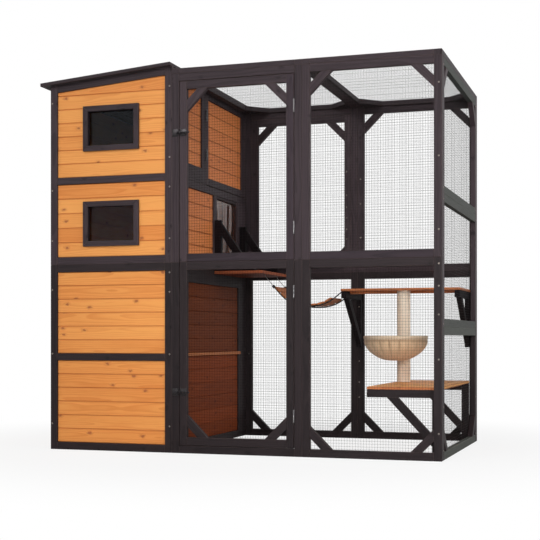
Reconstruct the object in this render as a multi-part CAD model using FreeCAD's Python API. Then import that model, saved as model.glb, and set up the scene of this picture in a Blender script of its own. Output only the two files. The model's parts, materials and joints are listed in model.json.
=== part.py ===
import FreeCAD, Part
import math
import os

# Outdoor cat enclosure: a planked cat house beside a two-bay mesh run. Inside the run are three shelves,
# a slat bridge, a sisal post and a hanging bed. Two stacked doors open the run, a third opens the house.
# Millimetres. X runs right along the front, Y from front to back, Z up.
# The origin is on the ground, below the middle of the overall box.

# Overall sizes
bay = 635.0                  # one of the three equal bays along the front
depth = 1080.0               # front face to back face
run_height = 1800.0          # ground to the top of the mesh roof
seam_height = 892.0          # joint between the lower and the upper panels
side_panel_height = 587.0    # each of the two lower panels of the right side
timber_face = 36.0           # width of stiles, rails and braces
timber_thick = 25.0          # thickness of every framed panel

# Corner braces of the mesh panels, measured along the opening from its corner
brace_near = 52.0
brace_far = 104.0

# Wire mesh, drawn with wide gaps
net_thick = 2.0              # two layers of wires
net_lap = 10.0               # mesh over the timber round each opening
net_wire = 2.0
net_pitch = 45.0

# House walls
roof_rise = 12.0             # roof underside at the run, above the run's top
roof_fall = 54.0             # slope of the roof over the bay
rail_height = 33.0           # rails between two fields of planks
lower_rail = 431.0           # underside of the rail in the lower panels
storey_share = 0.4262        # height of the rail in the upper panels, as a share of the run above the seam
plank_pitch = 67.0
plank_thick = 10.0
plank_recess = 8.0           # plank face behind the timber face
plank_bevel = 2.5
floor_thick = 12.0
hatch_width = 240.0          # way up through the upper floor
hatch_depth = 260.0

# House roof
roof_thick = 16.0
roof_overhang = 26.0         # at the front and the back
roof_eave = 43.0             # at the low end
roof_trim = 20.0
roof_lip = 3.0               # trim above the deck

# Windows of the house front
window_width = 291.0
window_aside = 2.0           # window middle to the right of the bay's middle
window_height = 216.0
window_bar = 26.0
window_thick = 12.0
window_shifts = (-18.5, 11.5)  # window middle above the middle of its field of planks
pane_thick = 3.0
pane_lap = 15.0

# Wall between the house and the run, measured from the front face
jamb_width = 54.0
house_door_back = 27.0       # timber between the house door and the back wall
house_door_width = 579.0
house_door_drop = 1.0        # foot of the house door below the top of the rail
house_door_headroom = 5.0
house_door_top_rail = 24.0
shoulder_height = 79.0       # wide rail left of the house door
panel_end = 559.0            # planks in front of the doorway
doorway_start = 600.0
doorway_width = 325.0
lower_planks_end = 937.0
inner_top_rail = 82.0
ledge_foot = 451.0
ledge_thick = 15.0
ledge_reach = 12.0

# Strip curtain in the doorway
strip_count = 3
strip_gap = 2.0
strip_thick = 1.6
strip_floor_gap = 6.0
curtain_rail = 12.0
curtain_clearance = 0.9      # lets the strip's top edge turn under the rail

# Run doors
door_gap = 3.0
hinge_height = 58.0
hinge_inset = 144.0          # hinge middle from the end of its door
house_hinges = (0.325, 0.76)  # hinge middles as shares of the house door's height
knuckle_radius = 3.5
knuckle_sides = 12
pin_radius = 1.5
pin_clearance = 0.05
knuckle_gap = 0.4
hinge_plate = 1.2
hinge_depth = 20.0
hinge_offset = 4.0           # pin in front of the timber face

# Barrel bolts
upper_bolt_share = 0.716     # bolt's height as a share of its door's height
lower_bolt_share = 0.2884
bolt_radius = 3.0
bolt_clearance = 0.05
bolt_travel = 14.0
bolt_tail = 2.0              # bolt past its guides when shot
bolt_inset = 0.5             # withdrawn tip behind the door's edge
bolt_offset = 7.0            # bolt axis in front of the timber face
bolt_plate = 1.5
bolt_plate_height = 34.0
guide_width = 6.0
guide_height = 12.0
guide_depth = 10.0
knob_radius = 2.5
knob_reach = 12.0
knob_play = 1.5              # knob to guide at each end of the travel
keeper_width = 9.0
keeper_gap = 3.0             # keeper behind the stile's edge
keeper_play = 1.0            # round the bolt
keeper_wall = 2.5

# Shelves
shelf_thick = 12.0
batten_thick = 12.0
bracket_leg = 286.0
perch_top = 788.0
perch_width = 607.0
perch_reach = 363.0
perch_brace_arm = (225.0, 281.0)
perch_brace_leg = (190.0, 237.0)
perch_arm_inset = 3.0
perch_batten = 85.0          # batten middle behind the front edge
low_shelf_top = 318.0
low_shelf_reach = 333.0
low_shelf_start = 107.0
low_shelf_length = 883.0
low_brace_arm = (155.0, 205.0)
low_brace_leg = (164.0, 216.0)
entrance_drop = 10.0         # top of the entrance shelf below the seam
entrance_thick = 15.0
entrance_reach = 259.0
entrance_start = 563.0
entrance_width = 412.0
entrance_leg = 261.0
entrance_arm = 215.0
entrance_brace_arm = (105.0, 150.0)
entrance_brace_leg = (147.0, 210.0)

# Sisal post and hanging bed
post_radius = 34.0
post_from_right = 319.0
post_from_front = 739.0
bed_radius = 157.0
bed_rim = 550.0
bed_depth = 122.0
bed_band = 28.0
bed_floor = 55.0
bed_gores = 20               # flat gores that the cloth is sewn from
bed_steps = 4                # bends in each gore below the band
bed_wall = 3.0
hoop_thick = 2.0
hoop_height = 16.0
hoop_play = 0.4
hoop_tab = 20.0
post_gap = 3.0               # rim to post

# Slat bridge: route of each rope, as share of its span and drop below the line between its ends
rope_radius = 3.5
rope_route = (
    (0.0, 0.0), (0.1008, 38.5), (0.2241, 69.2), (0.3641, 83.8), (0.5098, 82.2),
    (0.6555, 73.6), (0.7843, 54.5), (0.8796, 30.2), (0.9356, 2.254), (1.0, 0.0),
)
rope_reach = 23.0            # rope's first end past the entrance shelf's edge
rope_hang = 68.0             # rope's first end below the entrance shelf
rope_end_drop = 24.0         # rope's other end below the perch's top
cord_sides = 8               # flats round a rope or hook wire
rope_starts = (700.0, 900.0)  # from the front face
rope_bare = 58.0             # rope without slats before the perch
slat_count = 8
slat_marks = 10              # places along the rope where each slat's seat is measured
slat_width = 38.0
slat_thick = 9.0
slat_overhang = 14.0
slat_seat = 0.3
sleeve_radius = 7.5
sleeve_length = 14.0
hook_radius = 1.6
hook_drop = 9.0

# Places worked out from the sizes
width = 3 * bay
left = -(width - roof_eave) / 2
house_right = left + bay
run_mid = house_right + bay
right = left + width
front = -depth / 2
back = depth / 2
panel_top = run_height - timber_thick
inner_front = front + timber_thick
inner_back = back - timber_thick
net_back = inner_back - net_thick
net_right = right - timber_thick - net_thick
leaf_left = house_right + timber_face + door_gap
leaf_right = run_mid - timber_face - door_gap
upper_leaf = (seam_height + door_gap, panel_top - timber_face - door_gap)
lower_leaf = (timber_face + door_gap, seam_height)
house_high = run_height + roof_rise
house_low = house_high - roof_fall
upper_rail = round(seam_height + (run_height - seam_height) * storey_share)
house_door_base = upper_rail + rail_height - house_door_drop
house_door_start = inner_back - house_door_back - door_gap - house_door_width
entrance_top = seam_height - entrance_drop
perch_left = net_right - perch_width
bolt_plate_width = 2 * (guide_width + knob_radius + knob_play) + bolt_travel
bolt_length = bolt_plate_width + bolt_travel + bolt_tail

nodes = {}


def add(name, solids):
    """Put solids into a named piece."""
    nodes.setdefault(name, []).extend(solids)


def at(plane, a, b, c):
    """Point in a panel: a runs along it, b up it, c through it."""
    if plane == "front":
        return FreeCAD.Vector(a, c, b)
    if plane == "side":
        return FreeCAD.Vector(c, a, b)
    return FreeCAD.Vector(a, b, c)


def slab(plane, a0, a1, b0, b1, c0, c1):
    """Box in a panel."""
    low = at(plane, a0, b0, c0)
    size = at(plane, a1, b1, c1) - low
    return Part.makeBox(size.x, size.y, size.z, low)


def outline(plane, points, c):
    """Closed line through points of a panel."""
    corners = [at(plane, a, b, c) for a, b in points]
    return Part.makePolygon(corners + corners[:1])


def prism(plane, points, c0, c1):
    """Flat piece with a straight-sided outline."""
    face = Part.Face(outline(plane, points, c0))
    return face.extrude(at(plane, 0, 0, c1 - c0))


def brace(plane, a, b, legs_a, legs_b, c0, c1):
    """Diagonal strip across the corner at a, b. Each pair is the strip's near and far edge."""
    points = [(a + legs_a[0], b), (a + legs_a[1], b), (a, b + legs_b[1]), (a, b + legs_b[0])]
    return prism(plane, points, c0, c1)


def frame(plane, a0, a1, b0, b1, c0, c1, braced=()):
    """Framed panel: two stiles, two rails, and braces at the ends named in braced."""
    f = timber_face
    solids = [slab(plane, a, a + f, b0, b1, c0, c1) for a in (a0, a1 - f)]
    solids += [slab(plane, a0 + f, a1 - f, b, b + f, c0, c1) for b in (b0, b1 - f)]
    for end in braced:
        b = b0 + f if end == "bottom" else b1 - f
        up = 1 if end == "bottom" else -1
        for a, along in ((a0 + f, 1), (a1 - f, -1)):
            legs_a = (along * brace_near, along * brace_far)
            legs_b = (up * brace_near, up * brace_far)
            solids.append(brace(plane, a, b, legs_a, legs_b, c0, c1))
    return solids


def rectangle(a0, a1, b0, b1):
    return [(a0, b0), (a1, b0), (a1, b1), (a0, b1)]


def net(plane, a0, a1, b0, b1, c0, c1):
    """Mesh behind a framed panel: a layer of upright wires and one of cross wires, lapping the timbers."""
    inset = timber_face - net_lap
    a0 += inset
    a1 -= inset
    b0 += inset
    b1 -= inset
    columns = max(1, round((a1 - a0) / net_pitch))
    rows = max(1, round((b1 - b0) / net_pitch))
    step_a = (a1 - a0 - net_wire) / columns
    step_b = (b1 - b0 - net_wire) / rows
    middle = (c0 + c1) / 2
    wires = []
    for i in range(columns + 1):
        a = a0 + i * step_a
        wires.append(slab(plane, a, a + net_wire, b0, b1, c0, middle))
    for j in range(rows + 1):
        b = b0 + j * step_b
        wires.append(slab(plane, a0, a1, b, b + net_wire, middle, c1))
    return wires


def planks(plane, a0, a1, b0, b1, face, inward):
    """Horizontal boards with bevelled outer edges. Inward is the way through the wall, 1 or -1."""
    count = max(1, round((b1 - b0) / plank_pitch))
    height = (b1 - b0) / count
    outer = face + inward * plank_recess
    edge = outer + inward * plank_bevel
    inner = outer + inward * plank_thick
    boards = []
    for i in range(count):
        low = b0 + i * height
        high = low + height
        section = [
            (low, edge), (low + plank_bevel, outer), (high - plank_bevel, outer),
            (high, edge), (high, inner), (low, inner),
        ]
        corners = [at(plane, a0, b, c) for b, c in section]
        face_end = Part.Face(Part.makePolygon(corners + corners[:1]))
        boards.append(face_end.extrude(at(plane, a1 - a0, 0, 0)))
    return boards


def roof_line(x):
    """Height of the house roof's underside."""
    return house_low + (house_high - house_low) * (x - left) / bay


def house_wall(plane, a0, a1, face, inward, top):
    """Lower and upper frames of one planked wall, and its boards. Top gives the wall's height along it."""
    f = timber_face
    c0, c1 = sorted((face, face + inward * timber_thick))
    inside = (a0 + f, a1 - f)
    lower = [slab(plane, a, a + f, 0, seam_height, c0, c1) for a in (a0, a1 - f)]
    lower_rails = ((0, f), (lower_rail, lower_rail + rail_height), (seam_height - f, seam_height))
    lower += [slab(plane, *inside, b0, b1, c0, c1) for b0, b1 in lower_rails]
    upper = []
    for start, end in ((a0, a0 + f), (a1 - f, a1)):
        stile = [(start, seam_height), (end, seam_height), (end, top(end)), (start, top(start))]
        upper.append(prism(plane, stile, c0, c1))
    upper_rails = ((seam_height, seam_height + f), (upper_rail, upper_rail + rail_height))
    upper += [slab(plane, *inside, b0, b1, c0, c1) for b0, b1 in upper_rails]
    under = [(a, top(a) - f) for a in inside]
    over = [(a, top(a)) for a in reversed(inside)]
    upper.append(prism(plane, under + over, c0, c1))
    boards = planks(plane, *inside, f, lower_rail, face, inward)
    boards += planks(plane, *inside, lower_rail + rail_height, seam_height - f, face, inward)
    boards += planks(plane, *inside, seam_height + f, upper_rail, face, inward)
    foot = upper_rail + rail_height
    peak = max(b for a, b in under)
    field = prism(plane, [(inside[0], foot), (inside[1], foot)] + under[::-1], c0, c1)
    top_boards = planks(plane, *inside, foot, peak, face, inward)
    boards += [board.common(field).Solids[0] for board in top_boards]
    return lower, upper, boards


def house_walls():
    """Front, back and left walls of the house, and the front's windows."""
    lower, upper, boards = house_wall("front", left, house_right, front, 1, roof_line)
    outer = front + plank_recess
    middle = (left + house_right) / 2
    fields = (
        (seam_height + timber_face, upper_rail),
        (upper_rail + rail_height, roof_line(middle) - timber_face),
    )
    for (low, high), shift in zip(fields, window_shifts):
        a0 = middle + window_aside - window_width / 2
        a1 = a0 + window_width
        b0 = (low + high - window_height) / 2 + shift
        b1 = b0 + window_height
        bar = window_bar
        hole = slab("front", a0 + bar, a1 - bar, b0 + bar, b1 - bar, front, inner_front)
        boards = [piece for board in boards for piece in board.cut(hole).Solids]
        rim = rectangle(a0, a1, b0, b1)
        light = rectangle(a0 + bar, a1 - bar, b0 + bar, b1 - bar)
        for i in range(4):
            j = (i + 1) % 4
            bars = prism("front", [rim[i], rim[j], light[j], light[i]], outer - window_thick, outer)
            add("window_frames", [bars])
        behind = outer + plank_thick
        lap = bar - pane_lap
        pane = slab("front", a0 + lap, a1 - lap, b0 + lap, b1 - lap, behind, behind + pane_thick)
        add("window_panes", [pane])
    add("house_front_lower_frame", lower)
    add("house_front_upper_frame", upper)
    add("house_front_planks", boards)
    lower, upper, boards = house_wall("front", left, house_right, back, -1, roof_line)
    add("house_back_frames", lower + upper)
    add("house_back_planks", boards)
    lower, upper, boards = house_wall("side", inner_front, inner_back, left, 1, lambda a: roof_line(left))
    add("house_left_frames", lower + upper)
    add("house_left_planks", boards)


def house_inner_wall():
    """Wall between the house and the run, with the doorway and the opening for the house door."""
    f = timber_face
    wall = house_right - timber_thick
    top = roof_line(wall)
    door_end = house_door_start + house_door_width
    jamb = house_door_start - door_gap
    rail_top = house_door_base - door_gap
    rail_foot = rail_top - f
    lintel = panel_top - house_door_headroom + door_gap
    way_start = front + doorway_start
    way_end = way_start + doorway_width
    boards_end = front + panel_end
    foot = seam_height + f
    start = inner_front + f

    def timber(a0, a1, b0, b1):
        return slab("side", a0, a1, b0, b1, wall, house_right)

    upper = [
        timber(inner_front, start, seam_height, top),
        timber(start, inner_back, seam_height, foot),
        timber(start, inner_back, rail_foot, rail_top),
        timber(start, jamb - jamb_width, rail_top, rail_top + shoulder_height),
        timber(start, jamb - jamb_width, lintel, top),
        timber(jamb - jamb_width, jamb, rail_top, top),
        timber(jamb, inner_back, lintel, top),
        timber(door_end + door_gap, inner_back, rail_top, lintel),
        timber(boards_end, way_start, foot, rail_foot),
        timber(way_end, inner_back, foot, rail_foot),
    ]
    add("house_inner_upper_frame", upper)
    boards = planks("side", start, jamb - jamb_width, rail_top + shoulder_height, lintel, house_right, -1)
    boards += planks("side", start, boards_end, foot, rail_foot, house_right, -1)
    lower_end = front + lower_planks_end
    ledge_top = ledge_foot + ledge_thick
    top_rail_foot = seam_height - inner_top_rail
    lower = [
        timber(inner_front, start, 0, seam_height),
        timber(lower_end, inner_back, 0, seam_height),
        timber(start, lower_end, 0, f),
        timber(start, lower_end, top_rail_foot, seam_height),
    ]
    add("house_inner_lower_frame", lower)
    boards += planks("side", start, lower_end, f, ledge_foot, house_right, -1)
    boards += planks("side", start, lower_end, ledge_top, top_rail_foot, house_right, -1)
    add("house_inner_planks", boards)
    ledge = slab("side", start, lower_end, ledge_foot, ledge_top, wall, house_right + ledge_reach)
    add("house_ledge", [ledge])


def house_floors():
    """Floor of the sleeping storey with its hatch, and floor of the storey below it."""
    a0 = left + timber_thick
    a1 = house_right - timber_thick
    seam_floor = slab("roof", a0, a1, inner_front, inner_back, seam_height - floor_thick, seam_height)
    hatch_right = a0 + hatch_width
    hatch_front = inner_back - hatch_depth
    top = upper_rail + floor_thick
    add("house_floors", [
        seam_floor,
        slab("roof", a0, a1, inner_front, hatch_front, upper_rail, top),
        slab("roof", hatch_right, a1, hatch_front, inner_back, upper_rail, top),
    ])


def house_roof():
    """Sloping deck inside a trim of four strips, with an overhang on three sides."""
    eave = left - roof_eave
    c0 = front - roof_overhang
    c1 = back + roof_overhang

    def sloped(x0, x1, y0, y1, thick):
        under = [(x, roof_line(x)) for x in (x0, x1)]
        over = [(x, z + thick) for x, z in reversed(under)]
        return prism("front", under + over, y0, y1)

    add("roof_trim", [
        sloped(eave, house_right, c0, c0 + roof_trim, roof_thick),
        sloped(eave, house_right, c1 - roof_trim, c1, roof_thick),
        sloped(eave, eave + roof_trim, c0 + roof_trim, c1 - roof_trim, roof_thick),
        sloped(house_right - roof_trim, house_right, c0 + roof_trim, c1 - roof_trim, roof_thick),
    ])
    deck_thick = roof_thick - roof_lip
    deck = sloped(eave + roof_trim, house_right - roof_trim, c0 + roof_trim, c1 - roof_trim, deck_thick)
    add("roof_deck", [deck])


def strip_curtain():
    """Rail over the doorway and the clear strips that hang from it."""
    middle = house_right - timber_thick / 2
    start = front + doorway_start
    rail_foot = house_door_base - door_gap - timber_face
    rail = slab("side", start, start + doorway_width, rail_foot - curtain_rail, rail_foot,
                middle - curtain_rail / 2, middle + curtain_rail / 2)
    add("curtain_rail", [rail])
    top = rail_foot - curtain_rail - curtain_clearance
    low = seam_height + timber_face + strip_floor_gap
    pitch = (doorway_width - strip_gap) / strip_count
    for i in range(strip_count):
        a0 = start + strip_gap + i * pitch
        strip = slab("side", a0, a0 + pitch - strip_gap, low, top,
                     middle - strip_thick / 2, middle + strip_thick / 2)
        add("curtain_strip_%d" % (i + 1), [strip])


def back_insert(a0, a1, b0, b1):
    """Upper back panel behind the doors: a surround open below, and a frame with four braces that fills it."""
    f = timber_face
    inside = (a0 + f, a1 - f)
    timbers = [slab("front", a, a + f, b0, b1, inner_back, back) for a in (a0, a1 - f)]
    timbers.append(slab("front", *inside, b1 - f, b1, inner_back, back))
    size = (*inside, b0, b1 - f)
    return size, timbers + frame("front", *size, inner_back, back, ("bottom", "top"))


def run_panels():
    """Mesh panels of the run: front, right side, back and roof."""
    front_net = (inner_front, inner_front + net_thick)
    back_net = (net_back, inner_back)
    storeys = (("lower", 0, seam_height, ("bottom",)), ("upper", seam_height, panel_top, ("top",)))
    for storey, low, high, braced in storeys:
        size = (run_mid, right, low, high)
        add("front_%s_frame" % storey, frame("front", *size, front, inner_front, braced))
        add("front_%s_mesh" % storey, net("front", *size, *front_net))
        for a0, a1 in ((house_right, run_mid), (run_mid, right)):
            size = (a0, a1, low, high)
            timbers = frame("front", *size, inner_back, back, braced)
            if storey == "upper" and a0 == house_right:
                size, timbers = back_insert(*size)
            add("back_%s_frames" % storey, timbers)
            add("back_meshes", net("front", *size, *back_net))
    levels = (0, side_panel_height, 2 * side_panel_height, panel_top)
    braces = {"bottom": ("bottom",), "middle": (), "top": ("top",)}
    for i, name in enumerate(braces):
        size = (inner_front, inner_back, levels[i], levels[i + 1])
        add("side_%s_frame" % name, frame("side", *size, right - timber_thick, right, braces[name]))
        add("side_meshes", net("side", *size, net_right, right - timber_thick))
    for a0, a1 in ((house_right, run_mid), (run_mid, right)):
        size = (a0, a1, front, back)
        add("run_roof_frames", frame("roof", *size, panel_top, run_height, ("bottom", "top")))
        add("run_roof_meshes", net("roof", *size, panel_top - net_thick, panel_top))


def hinge(x, y, z, turn, fixed_side):
    """Fixed and moving halves of a butt hinge. The fixed half carries the pin and the outer knuckles."""
    third = hinge_height / 3
    low = z - hinge_height / 2
    up = FreeCAD.Vector(0, 0, 1)
    spans = {
        "fixed": ((low, low + third), (low + 2 * third, low + hinge_height)),
        "moving": ((low + third + knuckle_gap, low + 2 * third - knuckle_gap),),
    }
    halves = []
    for half, side in (("fixed", fixed_side), ("moving", -fixed_side)):
        x0, x1 = sorted((side * (door_gap / 2 - hinge_plate), side * door_gap / 2))
        solid = Part.makeBox(x1 - x0, hinge_depth, hinge_height, FreeCAD.Vector(x0, hinge_offset, low))
        for z0, z1 in spans[half]:
            tab = Part.makeBox(x1 - x0, hinge_offset, z1 - z0, FreeCAD.Vector(x0, 0, z0))
            turns = [2 * math.pi * i / knuckle_sides for i in range(knuckle_sides + 1)]
            corners = [FreeCAD.Vector(math.cos(t), math.sin(t), 0) * knuckle_radius for t in turns]
            knuckle = Part.Face(Part.makePolygon(corners)).extrude(up * (z1 - z0))
            knuckle.translate(up * z0)
            solid = solid.fuse(tab).fuse(knuckle)
        if half == "fixed":
            pin = Part.makeCylinder(pin_radius, hinge_height, FreeCAD.Vector(0, 0, low), up)
            solid = solid.fuse(pin)
        else:
            bore = Part.makeCylinder(pin_radius + pin_clearance, hinge_height, FreeCAD.Vector(0, 0, low), up)
            solid = solid.cut(bore)
        solid = solid.removeSplitter().Solids[0]
        solid.rotate(FreeCAD.Vector(0, 0, 0), up, turn)
        solid.translate(FreeCAD.Vector(x, y, 0))
        halves.append(solid)
    return halves


def bolt_guide(x, z):
    """Block on the door front with a hole for the bolt."""
    face = front - bolt_plate
    half = guide_height / 2
    block = slab("front", x, x + guide_width, z - half, z + half, face - guide_depth, face)
    axis = FreeCAD.Vector(x, front - bolt_offset, z)
    hole_radius = bolt_radius + bolt_clearance
    return block.cut(Part.makeCylinder(hole_radius, guide_width, axis, FreeCAD.Vector(1, 0, 0)))


def bolt_keeper(z):
    """Plate on the door surround with a square loop that the bolt slides into."""
    half = bolt_plate_height / 2
    hole = bolt_radius + keeper_play
    rim = hole + keeper_wall
    x1 = house_right + timber_face - keeper_gap
    x0 = x1 - keeper_width
    face = front - bolt_plate
    tip = front - bolt_offset - hole
    return [
        slab("front", house_right + keeper_gap, x1, z - half, z + half, face, front),
        slab("front", x0, x1, z + hole, z + rim, tip, face),
        slab("front", x0, x1, z - rim, z - hole, tip, face),
        slab("front", x0, x1, z - rim, z + rim, tip - keeper_wall, tip),
    ]


def barrel_bolt(name, z):
    """Guides on the door, a sliding bolt with its knob, and the keeper."""
    half = bolt_plate_height / 2
    x0 = leaf_left + (timber_face - bolt_plate_width) / 2
    x1 = x0 + bolt_plate_width
    body = slab("front", x0, x1, z - half, z + half, front - bolt_plate, front)
    for x in (x0, x1 - guide_width):
        body = body.fuse(bolt_guide(x, z))
    add(name + "_door_hardware", [body.removeSplitter().Solids[0]])
    axis = FreeCAD.Vector(leaf_left + bolt_inset, front - bolt_offset, z)
    rod = Part.makeCylinder(bolt_radius, bolt_length, axis, FreeCAD.Vector(1, 0, 0))
    knob_at = FreeCAD.Vector(x1 - guide_width - knob_radius - knob_play, front - bolt_offset, z)
    knob = Part.makeCylinder(knob_radius, knob_reach, knob_at, FreeCAD.Vector(0, -1, 0))
    add(name + "_bolt", [rod.fuse(knob).removeSplitter().Solids[0]])
    add("bolt_keepers", bolt_keeper(z))


def run_doors():
    """Door surround, and the upper and lower doors with their hinges and bolts."""
    add("door_surround", frame("front", house_right, run_mid, 0, panel_top, front, inner_front))
    pin_x = leaf_right + door_gap / 2
    pin_y = front - hinge_offset
    doors = (
        ("upper", upper_leaf, ("top",), upper_bolt_share),
        ("lower", lower_leaf, ("bottom",), lower_bolt_share),
    )
    for name, (low, high), braced, bolt_share in doors:
        size = (leaf_left, leaf_right, low, high)
        add(name + "_door_frame", frame("front", *size, front, inner_front, braced))
        add(name + "_door_mesh", net("front", *size, inner_front, inner_front + net_thick))
        for z in (low + hinge_inset, high - hinge_inset):
            fixed, moving = hinge(pin_x, pin_y, z, 0, 1)
            add("hinge_fixed_leaves", [fixed])
            add(name + "_door_hardware", [moving])
        barrel_bolt(name, low + bolt_share * (high - low))


def house_door():
    """Planked door of the sleeping storey, hinged at its front edge."""
    f = timber_face
    a0 = house_door_start
    a1 = a0 + house_door_width
    low = house_door_base
    high = panel_top - house_door_headroom
    wall = house_right - timber_thick
    add("house_door_frame", [
        slab("side", a0, a0 + f, low, high, wall, house_right),
        slab("side", a1 - f, a1, low, high, wall, house_right),
        slab("side", a0 + f, a1 - f, low, low + f, wall, house_right),
        slab("side", a0 + f, a1 - f, high - house_door_top_rail, high, wall, house_right),
    ])
    field = (a0 + f, a1 - f, low + f, high - house_door_top_rail)
    add("house_door_planks", planks("side", *field, house_right, -1))
    for share in house_hinges:
        z = low + share * (high - low)
        fixed, moving = hinge(house_right + hinge_offset, a0 - door_gap / 2, z, 90, -1)
        add("hinge_fixed_leaves", [fixed])
        add("house_door_hinges", [moving])


def bracket(plane, wall, along, level, up, leg, arm, brace_arm, brace_leg, c):
    """Leg on the wall, arm, and a brace between them. Along and up are 1 or -1."""
    f = timber_face
    c1 = c + timber_thick
    a0, a1 = sorted((wall, wall + along * f))
    b0, b1 = sorted((level, level + up * leg))
    solids = [slab(plane, a0, a1, b0, b1, c, c1)]
    a0, a1 = sorted((wall + along * f, wall + along * arm))
    b0, b1 = sorted((level, level + up * f))
    solids.append(slab(plane, a0, a1, b0, b1, c, c1))
    corner = (wall + along * f, level + up * f)
    legs_a = [along * leg_a for leg_a in brace_arm]
    legs_b = [up * leg_b for leg_b in brace_leg]
    solids.append(brace(plane, *corner, legs_a, legs_b, c, c1))
    return solids


def shelves():
    """Entrance shelf at the doorway, perch on the back wall and low shelf on the right wall."""
    entrance_y = front + entrance_start
    entrance_end = entrance_y + entrance_width
    entrance = slab("roof", house_right, house_right + entrance_reach, entrance_y, entrance_end,
                    entrance_top - entrance_thick, entrance_top)
    add("entrance_shelf", [entrance])
    for c in (entrance_y, entrance_end - timber_thick):
        add("entrance_brackets", bracket("front", house_right, 1, entrance_top, 1, entrance_leg, entrance_arm,
                                         entrance_brace_arm, entrance_brace_leg, c))
    under = perch_top - shelf_thick
    perch_front = net_back - perch_reach
    add("perch_shelf", [slab("roof", perch_left, net_right, perch_front, net_back, under, perch_top)])
    arms = (perch_left + perch_arm_inset, net_right - perch_arm_inset - timber_thick)
    for c in arms:
        add("perch_brackets", bracket("side", net_back, -1, under, -1, bracket_leg, perch_reach,
                                      perch_brace_arm, perch_brace_leg, c))
    batten_y = perch_front + perch_batten
    add("perch_brackets", [slab("roof", arms[0] + timber_thick, arms[1], batten_y, batten_y + timber_face,
                                under - batten_thick, under)])
    under = low_shelf_top - shelf_thick
    low_left = net_right - low_shelf_reach
    low_front = front + low_shelf_start
    low_back = low_front + low_shelf_length
    add("low_shelf", [slab("roof", low_left, net_right, low_front, low_back, under, low_shelf_top)])
    for c in (low_front, low_back - timber_thick):
        add("low_brackets", bracket("front", net_right, -1, under, -1, bracket_leg, low_shelf_reach,
                                    low_brace_arm, low_brace_leg, c))
    batten = (low_front + timber_thick, low_back - timber_thick, under - batten_thick, under)
    for x in (low_left, net_right - 2 * timber_face):
        add("low_brackets", [slab("roof", x, x + timber_face, *batten)])


def post_and_bed():
    """Sisal post between two shelves, and the cloth bowl on a hoop that the post carries."""
    x = right - post_from_right
    y = front + post_from_front
    up = FreeCAD.Vector(0, 0, 1)
    height = perch_top - shelf_thick - low_shelf_top
    add("sisal_post", [Part.makeCylinder(post_radius, height, FreeCAD.Vector(x, y, low_shelf_top), up)])
    bed_y = y - post_radius - post_gap - bed_radius

    def gored(sections):
        """Solid of flat gores through rings of a given radius and height."""
        turns = [2 * math.pi * (i + 0.5) / bed_gores for i in range(bed_gores + 1)]
        spokes = [FreeCAD.Vector(math.sin(t), math.cos(t), 0) for t in turns]
        rings = []
        for radius, z in sections:
            centre = FreeCAD.Vector(x, bed_y, z)
            rings.append([centre + spoke * radius for spoke in spokes])
        outlines = [rings[0], rings[-1]]
        for upper, lower in zip(rings, rings[1:]):
            for i in range(bed_gores):
                outlines.append([upper[i], upper[i + 1], lower[i + 1], lower[i], upper[i]])
        return Part.makeSolid(Part.makeShell([Part.Face(Part.makePolygon(line)) for line in outlines]))

    def ring(r0, r1, z0, z1):
        return gored([(r1, z1), (r1, z0)]).cut(gored([(r0, z1), (r0, z0)]))

    def bowl(radius, base):
        shoulder = bed_rim - bed_band
        sections = [(radius, bed_rim)]
        for i in range(bed_steps + 1):
            dip = math.pi / 2 * i / bed_steps
            girth = bed_floor + (radius - bed_floor) * math.cos(dip)
            sections.append((girth, shoulder - (shoulder - base) * math.sin(dip)))
        return gored(sections)

    flat = math.cos(math.pi / bed_gores)
    base = bed_rim - bed_depth
    band = 2 * bed_wall + hoop_thick + 2 * hoop_play
    hoop_out = bed_radius - bed_wall - hoop_play
    hoop_in = hoop_out - hoop_thick
    hoop_top = bed_rim - bed_wall - hoop_play
    hoop_foot = hoop_top - hoop_height
    cloth = bowl(bed_radius, base).cut(bowl(bed_radius - band, base + bed_wall))
    hem = ring(hoop_in - hoop_play, hoop_out + hoop_play, hoop_foot - hoop_play, hoop_top + hoop_play)
    hoop = ring(hoop_in, hoop_out, hoop_foot, hoop_top)
    tab_start = bed_y + hoop_in * flat
    tab_end = y - post_radius
    tab = slab("roof", x - hoop_tab / 2, x + hoop_tab / 2, tab_start, tab_end, hoop_foot, hoop_top)
    slot = slab("roof", x - hoop_tab / 2 - hoop_play, x + hoop_tab / 2 + hoop_play, tab_start, tab_end,
                hoop_foot - hoop_play, hoop_top + hoop_play)
    add("bowl_bed", [cloth.cut(hem).cut(slot).Solids[0]])
    add("bed_hoop", [hoop.fuse(tab).removeSplitter().Solids[0]])


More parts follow.
